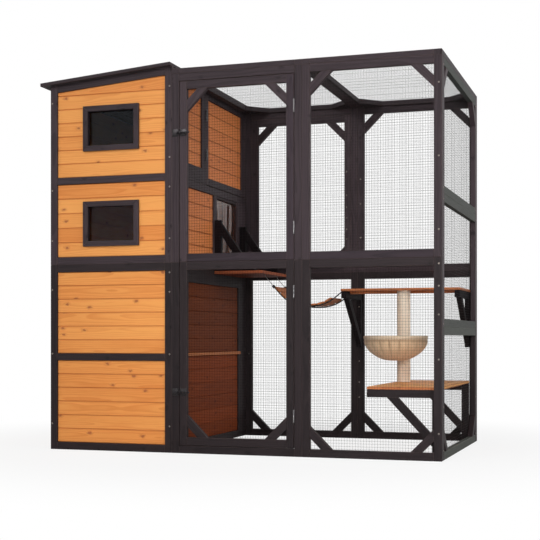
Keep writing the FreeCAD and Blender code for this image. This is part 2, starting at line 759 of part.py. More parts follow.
def tube(points, radius, name):
    """Cord along straight runs in one upright plane, joined by arcs as large as the runs allow."""
    edges = []
    radii = []
    last = points[0]
    for before, point, after in zip(points, points[1:], points[2:]):
        into = (point - before).normalize()
        out = (after - point).normalize()
        turn = into.getAngle(out)
        cut = 0.45 * min((point - before).Length, (after - point).Length)
        bend = cut / math.tan(turn / 2)
        start = point - into * cut
        end = point + out * cut
        inward = (out - into).normalize()
        middle = point + inward * (bend / math.cos(turn / 2) - bend)
        edges.append(Part.LineSegment(last, start).toShape())
        edges.append(Part.Arc(start, middle, end).toShape())
        radii.append(bend)
        last = end
    edges.append(Part.LineSegment(last, points[-1]).toShape())
    path = Part.Wire(edges)
    ahead = (points[1] - points[0]).normalize()
    across = FreeCAD.Vector(0, 1, 0)
    over = ahead.cross(across)
    turns = [2 * math.pi * (i + 0.5) / cord_sides for i in range(cord_sides + 1)]
    corners = [points[0] + across * (radius * math.cos(t)) + over * (radius * math.sin(t)) for t in turns]
    ring = Part.makePolygon(corners)
    solid = path.makePipeShell([ring], True, False)
    expected = Part.Face(ring).Area * path.Length
    print("%s: length %.1f, radii %s, volume %.4f of section times length" % (
        name, path.Length, ["%.0f" % bend for bend in radii], solid.Volume / expected))
    return solid, path


def slat_bridge():
    """Two ropes with slats on them, hooked under the entrance shelf and ending at the perch's arm."""
    shelf_under = entrance_top - entrance_thick
    first = FreeCAD.Vector(house_right + entrance_reach + rope_reach, 0, shelf_under - rope_hang)
    last = FreeCAD.Vector(perch_left + perch_arm_inset, 0, perch_top - rope_end_drop)
    for name, start in zip(("near", "far"), rope_starts):
        y = front + start
        route = [first + (last - first) * share + FreeCAD.Vector(0, y, -drop) for share, drop in rope_route]
        rope, path = tube(route, rope_radius, "bridge_%s_rope" % name)
        add("bridge_%s_rope" % name, [rope])
        back_up = (route[0] - route[1]).normalize()
        sleeve = Part.makeCylinder(sleeve_radius, sleeve_length, route[0], back_up)
        add("bridge_hooks", [sleeve])
        sleeve_top = route[0] + back_up * sleeve_length
        rise = (shelf_under - hook_drop - sleeve_top.z) / back_up.z
        elbow = sleeve_top + back_up * rise
        eye = FreeCAD.Vector(elbow.x, y, shelf_under)
        wire, _ = tube([eye, elbow, sleeve_top], hook_radius, "bridge_%s_hook" % name)
        add("bridge_hooks", [wire])
    slat_start = front + rope_starts[0] - slat_overhang
    slat_length = rope_starts[1] - rope_starts[0] + 2 * slat_overhang
    rope_top = rope_radius * math.cos(math.pi / cord_sides)
    marks = path.discretize(Distance=(path.Length - rope_bare) / (slat_count * slat_marks))
    for i in range(slat_count):
        under = marks[i * slat_marks:(i + 1) * slat_marks + 1]
        middle = under[slat_marks // 2]
        chord = (under[-1] - under[0]).normalize()
        normal = chord.cross(FreeCAD.Vector(0, 1, 0))
        lift = rope_top + slat_seat + max((mark - middle).dot(normal) for mark in under)
        corner = FreeCAD.Vector(middle.x - slat_width / 2, slat_start, middle.z + lift)
        slat = Part.makeBox(slat_width, slat_length, slat_thick, corner)
        slope = math.degrees(math.atan2(chord.z, chord.x))
        slat.rotate(middle, FreeCAD.Vector(0, -1, 0), slope)
        add("bridge_slats", [slat])


house_walls()
house_inner_wall()
house_floors()
house_roof()
strip_curtain()
run_panels()
run_doors()
house_door()
shelves()
post_and_bed()
slat_bridge()

os.makedirs("parts", exist_ok=True)
for node, solids in nodes.items():
    shape = solids[0] if len(solids) == 1 else Part.makeCompound(solids)
    shape.exportStep("parts/%s.step" % node)
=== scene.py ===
import json
import math
import random

import bmesh
import bpy
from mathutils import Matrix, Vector


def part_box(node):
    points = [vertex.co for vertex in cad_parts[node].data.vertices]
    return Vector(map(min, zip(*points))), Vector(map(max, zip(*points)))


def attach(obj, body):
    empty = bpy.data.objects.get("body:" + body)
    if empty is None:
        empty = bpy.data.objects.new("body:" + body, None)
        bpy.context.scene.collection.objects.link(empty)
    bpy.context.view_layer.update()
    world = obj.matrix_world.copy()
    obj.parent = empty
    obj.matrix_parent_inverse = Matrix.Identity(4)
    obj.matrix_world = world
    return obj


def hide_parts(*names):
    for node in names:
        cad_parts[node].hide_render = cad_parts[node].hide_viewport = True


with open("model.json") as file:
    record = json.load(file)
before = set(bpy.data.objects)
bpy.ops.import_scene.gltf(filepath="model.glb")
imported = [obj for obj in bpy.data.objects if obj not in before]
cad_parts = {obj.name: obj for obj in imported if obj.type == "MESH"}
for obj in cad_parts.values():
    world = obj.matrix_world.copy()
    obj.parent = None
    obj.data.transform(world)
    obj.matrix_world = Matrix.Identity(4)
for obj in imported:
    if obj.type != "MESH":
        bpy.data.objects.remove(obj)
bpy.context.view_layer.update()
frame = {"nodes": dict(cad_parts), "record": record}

# Outdoor cat enclosure of stained timber: a planked house on the left and a wire mesh run on the right.
# Lengths are in metres and the front faces -Y.

scene = bpy.context.scene
chance = random.Random(11)

behaviour, subparts = frame["record"]["behaviour"], frame["record"]["subparts"]
body_with = {node: body for body, nodes in behaviour["bodies"].items() for node in nodes}
slot_with = {part["node"]: part["material_slot"] for part in subparts}


def sides_of(node):
    """A CAD node's lowest and highest corners, to a tenth of a millimetre."""
    return [tuple(round(value, 4) for value in corner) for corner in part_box(node)]


# Places taken from the frame
seam_height = sides_of("front_lower_frame")[1][2]   # where the lower and upper panels meet
ledge_height = sides_of("house_ledge")[1][2]
front = sides_of("front_lower_frame")[0][1]
right = sides_of("side_bottom_frame")[1][0]
inner_back = sides_of("back_lower_frames")[0][1]    # inside face of the back panels

# Sizes of the trim
edge_ease = 0.0016           # how far sawn edges are rounded
plank_ease = 0.0010
shelf_ease = 0.0012
board_ease = 0.0014          # boards of the low shelf
low_shelf_boards = 5
slat_ease = 0.0041           # bridge slats have almost round edges
metal_ease = 0.0004
pane_ease = 0.0005
door_reach = 0.0011          # how far a door's frame fills the gaps above and below it
timber_corner = 0.3          # least turn of an edge that is eased, in radians
metal_corner = 0.9
metal_sharp = 0.6            # least turn of an edge that is shaded sharp

mesh_pitch = 0.0127          # welded half-inch mesh
wire_across = 0.00075
fine_wire_across = 0.00062   # at the side and on the roof
wire_bow = 0.0004            # how far a wire may bend in its middle

rope_route = [
    (-0.0140, 0.799), (0.021986, 0.756972), (0.066004, 0.721957), (0.115984, 0.702457), (0.167999, 0.698957),
    (0.220014, 0.702458), (0.265995, 0.717050), (0.300017, 0.738014), (0.3215, 0.7545), (0.3430, 0.7715),
]
rope_across = 0.007
near_rope_y, far_rope_y = 0.160, 0.360
strands, strand_radius, strand_sides = 3, 0.00185, 8
rope_lay = 0.021             # length of rope in which a strand goes round once
strand_apart = 0.1           # between two strands' places in the yarn's figure

post_pitch = 0.0062          # one turn of the sisal rope on the post
post_groove = 0.0021         # depth between two turns


# Camera
camera = bpy.data.objects.new("camera", bpy.data.cameras.new("camera"))
camera.location = (1.8422, -5.6447, 0.5403)
camera.rotation_euler = (math.radians(90.0), 0.0, math.radians(17.962))
camera.data.sensor_width = 36.0
camera.data.lens = 78.495
camera.data.shift_y = 0.1251
scene.collection.objects.link(camera)
scene.camera = camera


# Shader building blocks
def feed(tree, node, inputs):
    """Sets a node's inputs, or links those that are given as sockets."""
    for key, value in inputs.items():
        if isinstance(value, bpy.types.NodeSocket):
            tree.links.new(value, node.inputs[key])
        else:
            node.inputs[key].default_value = value


def place(tree, kind, inputs=None, **settings):
    """Adds a node, sets its options, then feeds its inputs."""
    node = tree.nodes.new(kind)
    for name, value in settings.items():
        setattr(node, name, value)
    feed(tree, node, inputs or {})
    return node


def calc(tree, operation, *values):
    return place(tree, "ShaderNodeMath", dict(enumerate(values)), operation=operation).outputs[0]


def calc3(tree, operation, *values):
    return place(tree, "ShaderNodeVectorMath", dict(enumerate(values)), operation=operation).outputs[0]


def length(tree, vector):
    return place(tree, "ShaderNodeVectorMath", {0: vector}, operation="LENGTH").outputs["Value"]


def ramp(tree, value, low, high, bottom=0.0, top=1.0):
    inputs = {"Value": value, "From Min": low, "From Max": high, "To Min": bottom, "To Max": top}
    return place(tree, "ShaderNodeMapRange", inputs, interpolation_type="SMOOTHSTEP").outputs[0]


def mix(tree, share, first, second):
    """Two colours mixed. Inputs 6 and 7 and output 2 are a mix node's colours."""
    return place(tree, "ShaderNodeMix", {0: share, 6: first, 7: second}, data_type="RGBA").outputs[2]


def noise(tree, at, scale, detail=2.0, rough=0.5):
    """Noise at a place stretched by a scale for each axis."""
    spread = calc3(tree, "MULTIPLY", at, scale)
    inputs = {"Vector": spread, "Scale": 1.0, "Detail": detail, "Roughness": rough}
    return place(tree, "ShaderNodeTexNoise", inputs).outputs


def attribute(tree, name, output="Vector"):
    return place(tree, "ShaderNodeAttribute", attribute_name=name).outputs[output]


def bump(tree, height, depth, strength=1.0):
    inputs = {"Height": height, "Distance": depth, "Strength": strength}
    return place(tree, "ShaderNodeBump", inputs).outputs["Normal"]


def opaque(colour):
    return (*colour, 1.0)


def group(name, given, made):
    """An empty shader node group with named inputs and outputs."""
    tree = bpy.data.node_groups.new(name, "ShaderNodeTree")
    for label, kind in given:
        tree.interface.new_socket(label, in_out="INPUT", socket_type="NodeSocket" + kind)
    for label, kind in made:
        tree.interface.new_socket(label, in_out="OUTPUT", socket_type="NodeSocket" + kind)
    return tree, tree.nodes.new("NodeGroupInput").outputs, tree.nodes.new("NodeGroupOutput")


def material(name, **plain):
    """A material with one principled shader and its plain values."""
    made = bpy.data.materials.new(name)
    made.use_nodes = True
    shader = made.node_tree.nodes["Principled BSDF"]
    for label, value in plain.items():
        shader.inputs[label.replace("_", " ")].default_value = value
    return made, made.node_tree, shader


# Effects that several finishes share
def timber_figure():
    """Growth rings round a pith below the face, long fibres, and knots that the rings flow round."""
    tree, given, made = group(
        "timber_figure",
        [("Place", "Vector"), ("Tone", "Float"), ("Pale", "Color"), ("Deep", "Color"), ("Knot", "Color"),
         ("Ring", "Float")],
        [("Colour", "Color"), ("Roughness", "Float"), ("Height", "Float")],
    )
    at = given["Place"]
    noise_middle = (0.5, 0.5, 0.5)

    # Knots lie in cells along the face. About one cell in four holds one, with a ragged outline.
    ragged = calc3(tree, "SUBTRACT", noise(tree, at, (70.0, 90.0, 90.0))["Color"], noise_middle)
    spots = calc3(tree, "ADD", calc3(tree, "MULTIPLY", at, (8.0, 14.0, 0.0)),
                  calc3(tree, "MULTIPLY", ragged, (0.16, 0.16, 0.0)))
    cells = place(tree, "ShaderNodeTexVoronoi", {"Vector": spots, "Scale": 1.0},
                  voronoi_dimensions="2D").outputs
    pick = place(tree, "ShaderNodeSeparateColor", {"Color": cells["Color"]}).outputs[0]
    present = calc(tree, "GREATER_THAN", pick, 0.74)
    near = ramp(tree, cells["Distance"], 0.24, 0.02)
    swell = calc(tree, "MULTIPLY", calc(tree, "POWER", near, 2.0), present)
    knot = calc(tree, "MULTIPLY", ramp(tree, cells["Distance"], 0.12, 0.03), present)

    # Rings are steps in the distance from the pith, which drifts slowly and swells round the knots.
    drift = calc3(tree, "SUBTRACT", noise(tree, at, (2.0, 8.0, 8.0))["Color"], noise_middle)
    bent = calc3(tree, "ADD", at, calc3(tree, "MULTIPLY", drift, (0.0, 0.030, 0.030)))
    from_pith = length(tree, calc3(tree, "MULTIPLY", bent, (0.0, 1.0, 1.0)))
    turns = calc(tree, "DIVIDE", calc(tree, "MULTIPLY_ADD", swell, 0.006, from_pith), given["Ring"])
    step = calc(tree, "FRACT", turns)
    late = calc(tree, "SUBTRACT", ramp(tree, step, 0.25, 0.92), ramp(tree, step, 0.94, 1.0))

    # Late wood, fibres, slow patches and the timber's own tone lead from the pale colour to the deep one.
    fibre = noise(tree, at, (14.0, 480.0, 480.0), 4.0, 0.62)[0]
    patch = noise(tree, at, (1.4, 7.0, 7.0))[0]
    share = calc(tree, "MULTIPLY_ADD", late, 0.34, calc(tree, "MULTIPLY_ADD", fibre, 0.7, -0.35))
    share = calc(tree, "ADD", share, calc(tree, "MULTIPLY_ADD", patch, 0.7, -0.35))
    share = calc(tree, "ADD", share, calc(tree, "MULTIPLY", given["Tone"], 0.5))
    plain = mix(tree, ramp(tree, share, -0.1, 1.1), given["Pale"], given["Deep"])
    stained = calc(tree, "MAXIMUM", calc(tree, "MULTIPLY", knot, 0.85), calc(tree, "MULTIPLY", swell, 0.45))
    feed(tree, made, {
        "Colour": mix(tree, stained, plain, given["Knot"]),
        "Roughness": calc(tree, "MULTIPLY_ADD", fibre, 0.24, 0.46),
        "Height": calc(tree, "MULTIPLY_ADD", late, 0.4, fibre),
    })
    return tree


def speckle():
    """Fine noise between two colours."""
    tree, given, made = group(
        "speckle",
        [("Place", "Vector"), ("Scale", "Float"), ("First", "Color"), ("Second", "Color")],
        [("Colour", "Color"), ("Value", "Float")],
    )
    inputs = {"Vector": given["Place"], "Scale": given["Scale"], "Detail": 5.0, "Roughness": 0.65}
    value = ramp(tree, place(tree, "ShaderNodeTexNoise", inputs).outputs[0], 0.34, 0.66)
    feed(tree, made, {"Colour": mix(tree, value, given["First"], given["Second"]), "Value": value})
    return tree


def yarn():
    """Twisted or woven threads with loose hairs. Tone leads to a colour of painted shade for creases."""
    tree, given, made = group(
        "yarn",
        [("Place", "Vector"), ("Threads", "Vector"), ("Pale", "Color"), ("Deep", "Color"),
         ("Crease Shade", "Color"), ("Tone", "Float")],
        [("Colour", "Color"), ("Roughness", "Float"), ("Height", "Float")],
    )
    at = given["Place"]
    inputs = {"Vector": calc3(tree, "MULTIPLY", at, given["Threads"]), "Scale": 1.0, "Distortion": 1.5,
              "Detail": 2.0, "Detail Scale": 2.0}
    threads = place(tree, "ShaderNodeTexWave", inputs, bands_direction="DIAGONAL").outputs["Fac"]
    hairs = noise(tree, at, (240.0, 900.0, 900.0), 4.0, 0.7)[0]
    patches = noise(tree, at, (9.0, 9.0, 9.0), 3.0)[0]
    share = calc(tree, "MULTIPLY_ADD", threads, 0.45, calc(tree, "MULTIPLY_ADD", hairs, 0.9, -0.45))
    share = calc(tree, "ADD", share, calc(tree, "MULTIPLY_ADD", patches, 0.8, -0.3))
    plain = mix(tree, ramp(tree, share, 0.0, 1.0), given["Pale"], given["Deep"])
    feed(tree, made, {
        "Colour": mix(tree, given["Tone"], plain, given["Crease Shade"]),
        "Roughness": calc(tree, "MULTIPLY_ADD", hairs, 0.2, 0.7),
        "Height": calc(tree, "MULTIPLY_ADD", threads, -0.6, hairs),
    })
    return tree


timber_tree, speckle_tree, yarn_tree = timber_figure(), speckle(), yarn()

# Values of the finishes
dead_matt, matt, satin, oiled, varnished = 0.04, 0.06, 0.18, 0.20, 0.30   # specular levels of timber
ring_width = 0.0055
grain_depth, grain_strength = 0.0004, 0.6
yarn_strength = 0.7
rope_threads, cloth_threads = (900.0, 900.0, 900.0), (1400.0, 1400.0, 1400.0)
cloth_depth, cloth_sheen = 0.0005, 0.25


def timber(name, pale, deep, knot, gloss=satin):
    made, tree, shader = material(name, Specular_IOR_Level=gloss)
    figure = place(tree, "ShaderNodeGroup", {
        "Place": attribute(tree, "grain"), "Tone": attribute(tree, "tone", "Fac"), "Ring": ring_width,
        "Pale": opaque(pale), "Deep": opaque(deep), "Knot": opaque(knot),
    }, node_tree=timber_tree).outputs
    feed(tree, shader, {
        "Base Color": figure["Colour"], "Roughness": figure["Roughness"],
        "Normal": bump(tree, figure["Height"], grain_depth, grain_strength),
    })
    return made


def speckled(name, first, second, scale, rough, depth=0.0, stretch=None, **plain):
    """A finish whose colour and gloss vary with fine noise. Rough is the roughness at its two ends."""
    made, tree, shader = material(name, **plain)
    at = place(tree, "ShaderNodeTexCoord").outputs["Object"]
    if stretch:
        at = calc3(tree, "MULTIPLY", at, stretch)
    figure = place(tree, "ShaderNodeGroup", {
        "Place": at, "Scale": scale, "First": opaque(first), "Second": opaque(second),
    }, node_tree=speckle_tree).outputs
    roughness = calc(tree, "MULTIPLY_ADD", figure["Value"], rough[1] - rough[0], rough[0])
    feed(tree, shader, {"Base Color": figure["Colour"], "Roughness": roughness})
    if depth:
        feed(tree, shader, {"Normal": bump(tree, figure["Value"], depth)})
    return made


def fibrous(name, pale, deep, threads, depth, crease_shade=None, **plain):
    """A finish of yarn. The grain attribute runs along the yarn in x and over it in y. Where creases take a
    colour of painted shade, the tone attribute gives its share."""
    made, tree, shader = material(name, **plain)
    figure = place(tree, "ShaderNodeGroup", {
        "Place": attribute(tree, "grain"), "Threads": threads, "Pale": opaque(pale), "Deep": opaque(deep),
    }, node_tree=yarn_tree)
    if crease_shade:
        feed(tree, figure, {"Tone": attribute(tree, "tone", "Fac"), "Crease Shade": opaque(crease_shade)})
    feed(tree, shader, {
        "Base Color": figure.outputs["Colour"], "Roughness": figure.outputs["Roughness"],
        "Normal": bump(tree, figure.outputs["Height"], depth, yarn_strength),
    })
    return made


# Stained frames, each with the paler finish of its worn edges, and brackets
dark_stain = timber("dark_stain", (0.055, 0.038, 0.044), (0.0215, 0.0145, 0.0175), (0.014, 0.0095, 0.011))
worn_stain = timber("worn_stain_edge", (0.076, 0.053, 0.051), (0.032, 0.022, 0.022), (0.012, 0.008, 0.008))
deep_stain = timber("deep_stain", (0.024, 0.016, 0.0175), (0.0098, 0.0063, 0.0073), (0.007, 0.0045, 0.005))
deep_worn = timber("worn_deep_edge", (0.046, 0.031, 0.03), (0.02, 0.0135, 0.0135), (0.008, 0.005, 0.005))
seam_stain = timber("seam_stain", (0.0385, 0.0257, 0.0325), (0.015, 0.0098, 0.013), (0.01, 0.0065, 0.008))
seam_worn = timber("worn_seam_edge", (0.056, 0.038, 0.039), (0.024, 0.016, 0.017), (0.01, 0.006, 0.006))
grey_stain = timber("grey_stain", (0.035, 0.0385, 0.0325), (0.0185, 0.0205, 0.0175), (0.008, 0.008, 0.0075))
low_grey = timber("low_grey_stain", (0.048, 0.052, 0.043), (0.0255, 0.028, 0.0235), (0.011, 0.011, 0.01))
grey_worn = timber("worn_grey_edge", (0.08, 0.084, 0.068), (0.042, 0.045, 0.037), (0.016, 0.014, 0.012))
bracket_stain = timber(
    "bracket_stain", (0.0125, 0.0088, 0.01), (0.0055, 0.0038, 0.0045), (0.004, 0.0028, 0.003), dead_matt)

# Planks and boards
honey = timber("honey_planks", (0.87, 0.37, 0.094), (0.69, 0.218, 0.043), (0.34, 0.078, 0.028), varnished)
honey_worn = timber("honey_edge", (0.69, 0.225, 0.056), (0.5, 0.15, 0.034), (0.26, 0.066, 0.018), varnished)
amber = timber("inner_wall_planks", (0.8, 0.265, 0.078), (0.62, 0.175, 0.042), (0.33, 0.08, 0.018), varnished)
amber_worn = timber(
    "inner_wall_edge", (0.42, 0.125, 0.034), (0.3, 0.082, 0.02), (0.15, 0.04, 0.01), varnished)
# Painted shade: the inner wall's planks below the seam are painted dark, and those below the ledge a little
# less dark. Their edges are painted nearly the same colour.
painted_shade_planks = timber(
    "lower_wall_painted_shade", (0.175, 0.04, 0.0108), (0.116, 0.0265, 0.007), (0.06, 0.013, 0.004), matt)
painted_shade_edge = timber(
    "lower_wall_edge_painted_shade", (0.175, 0.04, 0.0108), (0.125, 0.028, 0.007), (0.04, 0.009, 0.004), matt)
foot_planks_painted_shade = timber("foot_planks_painted_shade", (0.25, 0.05, 0.0115), (0.17, 0.034, 0.0075), (0.08, 0.016, 0.005), matt)
foot_edge_painted_shade = timber("foot_plank_edge_painted_shade", (0.25, 0.05, 0.0115), (0.18, 0.036, 0.008), (0.05, 0.011, 0.004), matt)
perch_wood = timber("perch_boards", (0.6, 0.205, 0.072), (0.41, 0.125, 0.04), (0.15, 0.04, 0.013), varnished)
shelf_wood = timber("shelf_boards", (0.9, 0.43, 0.138), (0.7, 0.29, 0.075), (0.25, 0.08, 0.024), varnished)
ledge_wood = timber("ledge_board", (0.44, 0.14, 0.041), (0.33, 0.095, 0.023), (0.15, 0.04, 0.01), oiled)
landing_wood = timber(
    "landing_boards", (0.43, 0.12, 0.051), (0.295, 0.073, 0.029), (0.11, 0.026, 0.01), oiled)
# Painted shade for the faces of the entrance shelf that look down.
underside_painted_shade = timber(
    "board_underside_painted_shade", (0.145, 0.028, 0.0085), (0.095, 0.019, 0.0055), (0.04, 0.009, 0.003), matt)


# Metal, roof felt, panes and plastic
def bare_metal(name, first, second, rough, scale=260.0):
    return speckled(name, first, second, scale, rough, Metallic=1.0)


steel = bare_metal("hinge_steel", (0.24, 0.23, 0.235), (0.16, 0.155, 0.16), (0.36, 0.54))
screw_steel = bare_metal("screw_steel", (0.36, 0.32, 0.28), (0.24, 0.21, 0.18), (0.34, 0.52))
bright_steel = bare_metal("hook_steel", (0.42, 0.41, 0.4), (0.25, 0.245, 0.24), (0.26, 0.42))
dull_steel = bare_metal("dark_steel", (0.05, 0.046, 0.048), (0.024, 0.022, 0.023), (0.26, 0.46), 420.0)
wire = speckled(
    "wire_mesh", (0.014, 0.012, 0.012), (0.007, 0.006, 0.006), 90.0, (0.5, 0.7), Specular_IOR_Level=0.12)
# Painted shade for the walls and floor of the screws' sunk cross.
recess_shade = speckled("screw_recess", (0.03, 0.029, 0.028), (0.015, 0.015, 0.015), 900.0, (0.6, 0.8))
felt = speckled("roof_felt", (0.075, 0.072, 0.072), (0.02, 0.019, 0.02), 900.0, (0.85, 0.95), 0.0008)
pane = speckled(
    "clear_pane", (0.49, 0.57, 0.71), (0.45, 0.53, 0.67), 14.0, (0.02, 0.05),
    Transmission_Weight=1.0, IOR=1.22)
strip_plastic = speckled(
    "clear_strip", (0.58, 0.34, 0.26), (0.42, 0.22, 0.155), 2.0, (0.03, 0.07), stretch=(1.0, 4.0, 0.3),
    Transmission_Weight=0.95, IOR=1.4)
sleeve_plastic = speckled(
    "black_sleeve", (0.018, 0.018, 0.019), (0.01, 0.01, 0.011), 400.0, (0.4, 0.55), Specular_IOR_Level=0.25)

# Rope and cloth
sisal = fibrous("sisal", (0.97, 0.84, 0.69), (0.83, 0.65, 0.49), rope_threads, 0.0006)
rope_fibre = fibrous("black_rope", (0.034, 0.032, 0.031), (0.011, 0.011, 0.011), rope_threads, 0.0003)
# The beige cloth's crease colour is painted shade, for the crease under the rim band and the dips along the
# gores' seams.
cloth = fibrous("beige_cloth", (0.785, 0.563, 0.357), (0.611, 0.421, 0.254), cloth_threads, cloth_depth,
                crease_shade=(0.33, 0.205, 0.112), Sheen_Weight=cloth_sheen)
rim_cloth = fibrous("rim_cloth", (0.7, 0.55, 0.395), (0.548, 0.412, 0.28), cloth_threads, cloth_depth,
                    Sheen_Weight=cloth_sheen)


# Pieces
def add_piece(name, data, *finishes):
    piece = bpy.data.objects.new(name, data)
    scene.collection.objects.link(piece)
    for finish in finishes:
        data.materials.append(finish)
    return piece


def stand_for(piece, node):
    """The piece is shown in the place of a CAD node and moves with its body."""
    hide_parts(node)
    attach(piece, body_with[node])
    return piece


def face_outward(data):
    """Turns every face of a closed mesh outward."""
    shell = bmesh.new()
    shell.from_mesh(data)
    bmesh.ops.recalc_face_normals(shell, faces=shell.faces)
    shell.to_mesh(data)
    shell.free()


def mesh_from(name, joined):
    data = bpy.data.meshes.new(name)
    joined.to_mesh(data)
    joined.free()
    return data


def smooth_mesh(name, points, faces, grains=(), closed=True):
    """A smooth mesh, turned outward where it is closed, with the grain attribute that yarn needs."""
    data = bpy.data.meshes.new(name)
    data.from_pydata(points, [], faces)
    if closed:
        face_outward(data)
    data.polygons.foreach_set("use_smooth", [True] * len(faces))
    if grains:
        values = [value for grain in grains for value in grain]
        data.attributes.new("grain", "FLOAT_VECTOR", "POINT").data.foreach_set("vector", values)
    return data


def grid_faces(columns, rows):
    """The faces of a grid of points, numbered row by row."""
    starts = [j * (columns + 1) + i for j in range(rows) for i in range(columns)]
    return [(a, a + 1, a + columns + 2, a + columns + 1) for a in starts]


def ring_faces(first, second, sides):
    """The faces between two rings of points that start at these numbers."""
    turns = [(k, (k + 1) % sides) for k in range(sides)]
    return [(first + a, first + b, second + b, second + a) for a, b in turns]


def tube_faces(start, rings, sides):
    """The faces of a closed tube whose rings of points follow each other from a start."""
    last = start + (rings - 1) * sides
    first_end, last_end = tuple(range(start + sides - 1, start - 1, -1)), tuple(range(last, last + sides))
    skin = [face for ring in range(start, last, sides) for face in ring_faces(ring, ring + sides, sides)]
    return [first_end, *skin, last_end]


# Solids of the CAD
def solids_of(node):
    """The closed solids of a CAD node, each as a list of triangles."""
    mesh = frame["nodes"][node].data
    open_edges, triangles = set(), []
    for polygon in mesh.polygons:
        corners = [tuple(round(c, 6) for c in mesh.vertices[i].co) for i in polygon.vertices]
        triangles.append(corners)
        for edge in zip(corners, corners[1:] + corners[:1]):
            open_edges ^= {frozenset(edge)}
        if not open_edges:
            yield triangles
            triangles = []


def extent(triangles):
    """The lowest and highest corners of a solid."""
    corners = [corner for triangle in triangles for corner in triangle]
    return tuple(tuple(pick(c[k] for c in corners) for k in range(3)) for pick in (min, max))


def whole_solid(triangles):
    """A solid as a bmesh with each flat face in one piece."""
    part, seen = bmesh.new(), {}
    for triangle in triangles:
        for corner in triangle:
            if corner not in seen:
                seen[corner] = part.verts.new(corner)
        part.faces.new([seen[corner] for corner in triangle])
    bmesh.ops.recalc_face_normals(part, faces=part.faces)
    bmesh.ops.dissolve_limit(part, angle_limit=0.01, verts=part.verts, edges=part.edges)
    return part


def box_solid(low, high):
    """A box as the corner lists of its six faces."""
    corners = [(x, y, z) for x in (low[0], high[0]) for y in (low[1], high[1]) for z in (low[2], high[2])]
    left_right = ((0, 1, 3, 2), (4, 6, 7, 5))
    front_back = ((0, 4, 5, 1), (2, 3, 7, 6))
    bottom_top = ((0, 2, 6, 4), (1, 5, 7, 3))
    return [[corners[k] for k in face] for face in left_right + front_back + bottom_top]


def boards_of(node, count):
    """A slab of the CAD as equal boards side by side along X."""
    low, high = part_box(node)
    wide = (high.x - low.x) / count
    joints = [low.x + wide * i for i in range(count + 1)]
    return [box_solid((a, low.y, low.z), (b, high.y, high.z)) for a, b in zip(joints, joints[1:])]


def cut_at_seam(node):
    """A CAD node's timbers, those that pass the seam of the panels as a lower and an upper length."""
    lengths = []
    for triangles in solids_of(node):
        low, high = extent(triangles)
        if low[2] < seam_height < high[2]:
            lengths.append(box_solid(low, (high[0], high[1], seam_height)))
            lengths.append(box_solid((low[0], low[1], seam_height), high))
        else:
            lengths.append(triangles)
    return lengths


def ease_edges(part, ease, corner):
    """Rounds the edges that turn by more than a corner's angle and gives back the new faces."""
    edges = [edge for edge in part.edges if edge.calc_face_angle(0.0) > corner]
    return bmesh.ops.bevel(part, geom=edges, offset=ease, segments=2, profile=0.5, affect="EDGES",
                           clamp_overlap=True)["faces"]


def add_solid(joined, part):
    """Moves a solid into a larger mesh and gives back its vertices there."""
    copies = {vertex: joined.verts.new(vertex.co) for vertex in part.verts}
    for face in part.faces:
        copy = joined.faces.new([copies[vertex] for vertex in face.verts])
        copy.material_index, copy.smooth = face.material_index, face.smooth
    part.free()
    return list(copies.values())


# Timbers
# Where a timber's figure is cut: its start along the grain, and the pith's place across and below the face.
grain_start, pith_across, pith_below = (0.0, 40.0), (-0.03, 0.03), (0.02, 0.06)


def grain_of(part):
    """A timber's middle and the directions along its grain, across its broad face and out of it."""
    longest = max(part.edges, key=lambda edge: edge.calc_length())
    along = (longest.verts[1].co - longest.verts[0].co).normalized()
    broad = max(part.faces, key=lambda face: face.calc_area()).normal
    across = broad.cross(along).normalized()
    middle = sum((vertex.co for vertex in part.verts), Vector()) / len(part.verts)
    return middle, along, across, along.cross(across)


def own_tone(finish, along):
    """A timber's own share of the deep colour. Stained rails and posts differ, house planks most."""
    tone = chance.random()
    level = abs(along.z) < 0.5
    if finish is honey:
        return 1.5 * tone - 0.25
    if finish is dark_stain and level:
        return 0.6 + 0.4 * tone
    if finish is deep_stain:
        return 0.2 + 0.5 * tone if level else 0.4 + 0.6 * tone
    return tone


def timbers(node, *finishes, ease=edge_ease, pair=None, solids=None, reach=0.0):
    """A CAD node's timbers again with rounded edges and their own grain. Finishes come in pairs for faces and
    edges, and pair gives the number of a timber's pair. Reach moves the piece's top and foot out into the
    gaps there."""
    joined = bmesh.new()
    grain = joined.verts.layers.float_vector.new("grain")
    tone = joined.verts.layers.float.new("tone")
    for triangles in solids or solids_of(node):
        part = whole_solid(triangles)
        first = 2 * pair(*extent(triangles)) if pair else 0
        middle, along, across, outward = grain_of(part)
        for face in part.faces:
            face.material_index = first
        for face in ease_edges(part, ease, timber_corner):
            face.material_index, face.smooth = first + 1, True
        shift = Vector([chance.uniform(*span) for span in (grain_start, pith_across, pith_below)])
        shade = own_tone(finishes[0], along)
        for vertex in add_solid(joined, part):
            off = vertex.co - middle
            vertex[grain] = Vector((off.dot(along), off.dot(across), off.dot(outward))) + shift
            vertex[tone] = shade
    data = mesh_from(node + "_timber", joined)
    heights = [vertex.co.z for vertex in data.vertices]
    foot, top = min(heights) + 2 * ease, max(heights) - 2 * ease
    for vertex in data.vertices:
        if vertex.co.z > top:
            vertex.co.z += reach
        elif vertex.co.z < foot:
            vertex.co.z -= reach
    return stand_for(add_piece(node + "_timber", data, *finishes), node)


def refinish(piece, number, way, closeness=0.9):
    """Gives the faces that look this way another of the piece's finishes."""
    for polygon in piece.data.polygons:
        if polygon.normal.dot(Vector(way)) > closeness:
            polygon.material_index = number


# Timbers that take the second or third pair of a node's finishes
batten_height, side_rail_length, hinge_stile_x = 0.02, 0.5, 0.2
seam_slack, seam_rail_height = 0.01, 0.07


def seam_rail(low, high):
    """Rails just above the seam of the panels."""
    return seam_height - seam_slack < low[2] and high[2] < seam_height + seam_rail_height


